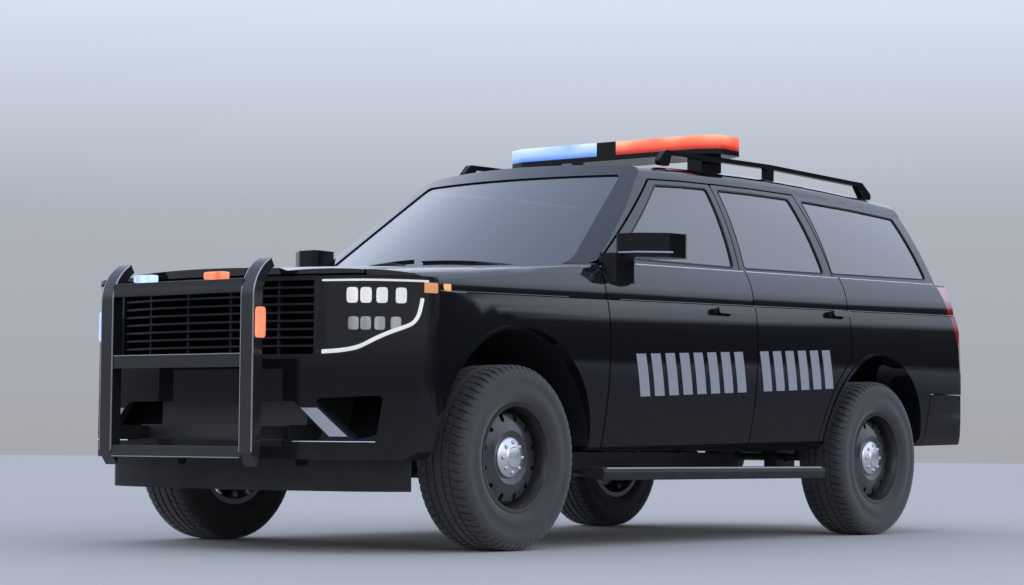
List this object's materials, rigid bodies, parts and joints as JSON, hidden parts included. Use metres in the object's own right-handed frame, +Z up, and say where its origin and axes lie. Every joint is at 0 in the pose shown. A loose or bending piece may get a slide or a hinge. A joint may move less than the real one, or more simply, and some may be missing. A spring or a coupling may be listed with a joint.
{
  "type": "police suv",
  "caption": "Full-size police sport utility vehicle with push bumper, roof light bar, opening doors, hood and liftgate, steering front wheels and a ladder frame.",
  "frame": {"origin": "on the ground, midway between the nose of the push bumper and the tail of the rear bumper, in the plane of symmetry", "axes": "+X to the car's left, -Y forward, +Z up"},
  "size_m": [2.39, 5.407, 2.056],
  "materials": {
    "black_paint": "gloss clear coat",
    "black_plastic": "satin, grained",
    "black_steel": "satin powder coat",
    "cast_metal": "as cast",
    "steel": "dull",
    "tinted_glass": "dark tint",
    "clear_lens": "clear",
    "lamp_bowl": "dark gloss",
    "red_lens": "clear red",
    "blue_lens": "clear blue",
    "seat_cloth": "woven",
    "grey_plastic": "soft grain",
    "tyre_rubber": "matte",
    "wheel_steel": "gloss black"
  },
  "bodies": {
    "body": {"body_side_left": "black_paint", "body_side_right": "black_paint", "roof_panel": "black_paint", "cowl": "black_plastic", "floor_pan": "black_plastic", "quarter_glass": "tinted_glass", "windscreen": "tinted_glass", "front_fenders": "black_paint", "wheel_liners": "black_plastic", "front_bumper": "black_paint", "grille": "black_plastic", "headlamp_lenses": "clear_lens", "headlamp_bowls": "lamp_bowl", "tail_lamps": "red_lens", "rear_bumper": "black_plastic", "chassis_frame": "black_steel", "suspension": "black_steel", "powertrain": "cast_metal", "exhaust": "steel", "running_boards": "black_plastic", "roof_rails": "black_plastic", "lightbar_base": "black_plastic", "lens_blue": "blue_lens", "lens_red": "red_lens", "push_bumper": "black_steel", "push_lamps_blue": "blue_lens", "push_lamps_red": "red_lens", "front_seats": "seat_cloth", "rear_seat": "seat_cloth", "dashboard": "grey_plastic"},
    "front_left_door": {"door_front_left": "black_paint", "glass_front_left": "tinted_glass", "mirror_left": "black_plastic"},
    "front_right_door": {"door_front_right": "black_paint", "glass_front_right": "tinted_glass", "mirror_right": "black_plastic"},
    "rear_left_door": {"door_rear_left": "black_paint", "glass_rear_left": "tinted_glass"},
    "rear_right_door": {"door_rear_right": "black_paint", "glass_rear_right": "tinted_glass"},
    "hood_lid": {"hood": "black_paint"},
    "tailgate": {"liftgate": "black_paint", "tail_glass": "tinted_glass"},
    "left_knuckle": {"knuckle_left": "black_steel"},
    "right_knuckle": {"knuckle_right": "black_steel"},
    "front_left_wheel": {"tyre_front_left": "tyre_rubber", "wheel_front_left": "wheel_steel"},
    "front_right_wheel": {"tyre_front_right": "tyre_rubber", "wheel_front_right": "wheel_steel"},
    "rear_left_wheel": {"tyre_rear_left": "tyre_rubber", "wheel_rear_left": "wheel_steel"},
    "rear_right_wheel": {"tyre_rear_right": "tyre_rubber", "wheel_rear_right": "wheel_steel"}
  },
  "joints": [
    {"name": "steer_left", "type": "hinge", "parent": "body", "child": "left_knuckle", "pos_m": [0.772, -1.5685, 0.4075], "axis": [0, 0, 1], "range_deg": [-32, 32]},
    {"name": "steer_right", "type": "hinge", "parent": "body", "child": "right_knuckle", "pos_m": [-0.772, -1.5685, 0.4075], "axis": [0, 0, 1], "range_deg": [-32, 32]},
    {"name": "spin_front_left", "type": "hinge", "parent": "left_knuckle", "child": "front_left_wheel", "pos_m": [0.856, -1.5685, 0.4075], "axis": [1, 0, 0], "continuous": true},
    {"name": "spin_front_right", "type": "hinge", "parent": "right_knuckle", "child": "front_right_wheel", "pos_m": [-0.856, -1.5685, 0.4075], "axis": [1, 0, 0], "continuous": true},
    {"name": "spin_rear_left", "type": "hinge", "parent": "body", "child": "rear_left_wheel", "pos_m": [0.856, 1.5435, 0.4075], "axis": [1, 0, 0], "continuous": true},
    {"name": "spin_rear_right", "type": "hinge", "parent": "body", "child": "rear_right_wheel", "pos_m": [-0.856, 1.5435, 0.4075], "axis": [1, 0, 0], "continuous": true},
    {"name": "open_front_left", "type": "hinge", "parent": "body", "child": "front_left_door", "pos_m": [1.0045, -0.9165, 0.9], "axis": [0, 0, -1], "range_deg": [0, 68]},
    {"name": "open_front_right", "type": "hinge", "parent": "body", "child": "front_right_door", "pos_m": [-1.0045, -0.9165, 0.9], "axis": [0, 0, 1], "range_deg": [0, 68]},
    {"name": "open_rear_left", "type": "hinge", "parent": "body", "child": "rear_left_door", "pos_m": [1.0045, 0.3265, 0.9], "axis": [0, 0, -1], "range_deg": [0, 68]},
    {"name": "open_rear_right", "type": "hinge", "parent": "body", "child": "rear_right_door", "pos_m": [-1.0045, 0.3265, 0.9], "axis": [0, 0, 1], "range_deg": [0, 68]},
    {"name": "open_hood", "type": "hinge", "parent": "body", "child": "hood_lid", "pos_m": [0, -1.2045, 1.2955], "axis": [-1, 0, 0], "range_deg": [0, 48]},
    {"name": "open_tailgate", "type": "hinge", "parent": "body", "child": "tailgate", "pos_m": [0, 2.2755, 1.858], "axis": [1, 0, 0], "range_deg": [0, 85]}
  ],
  "couplings": [
    {"joint": "steer_right", "follows": "steer_left", "ratio": 1}
  ]
}
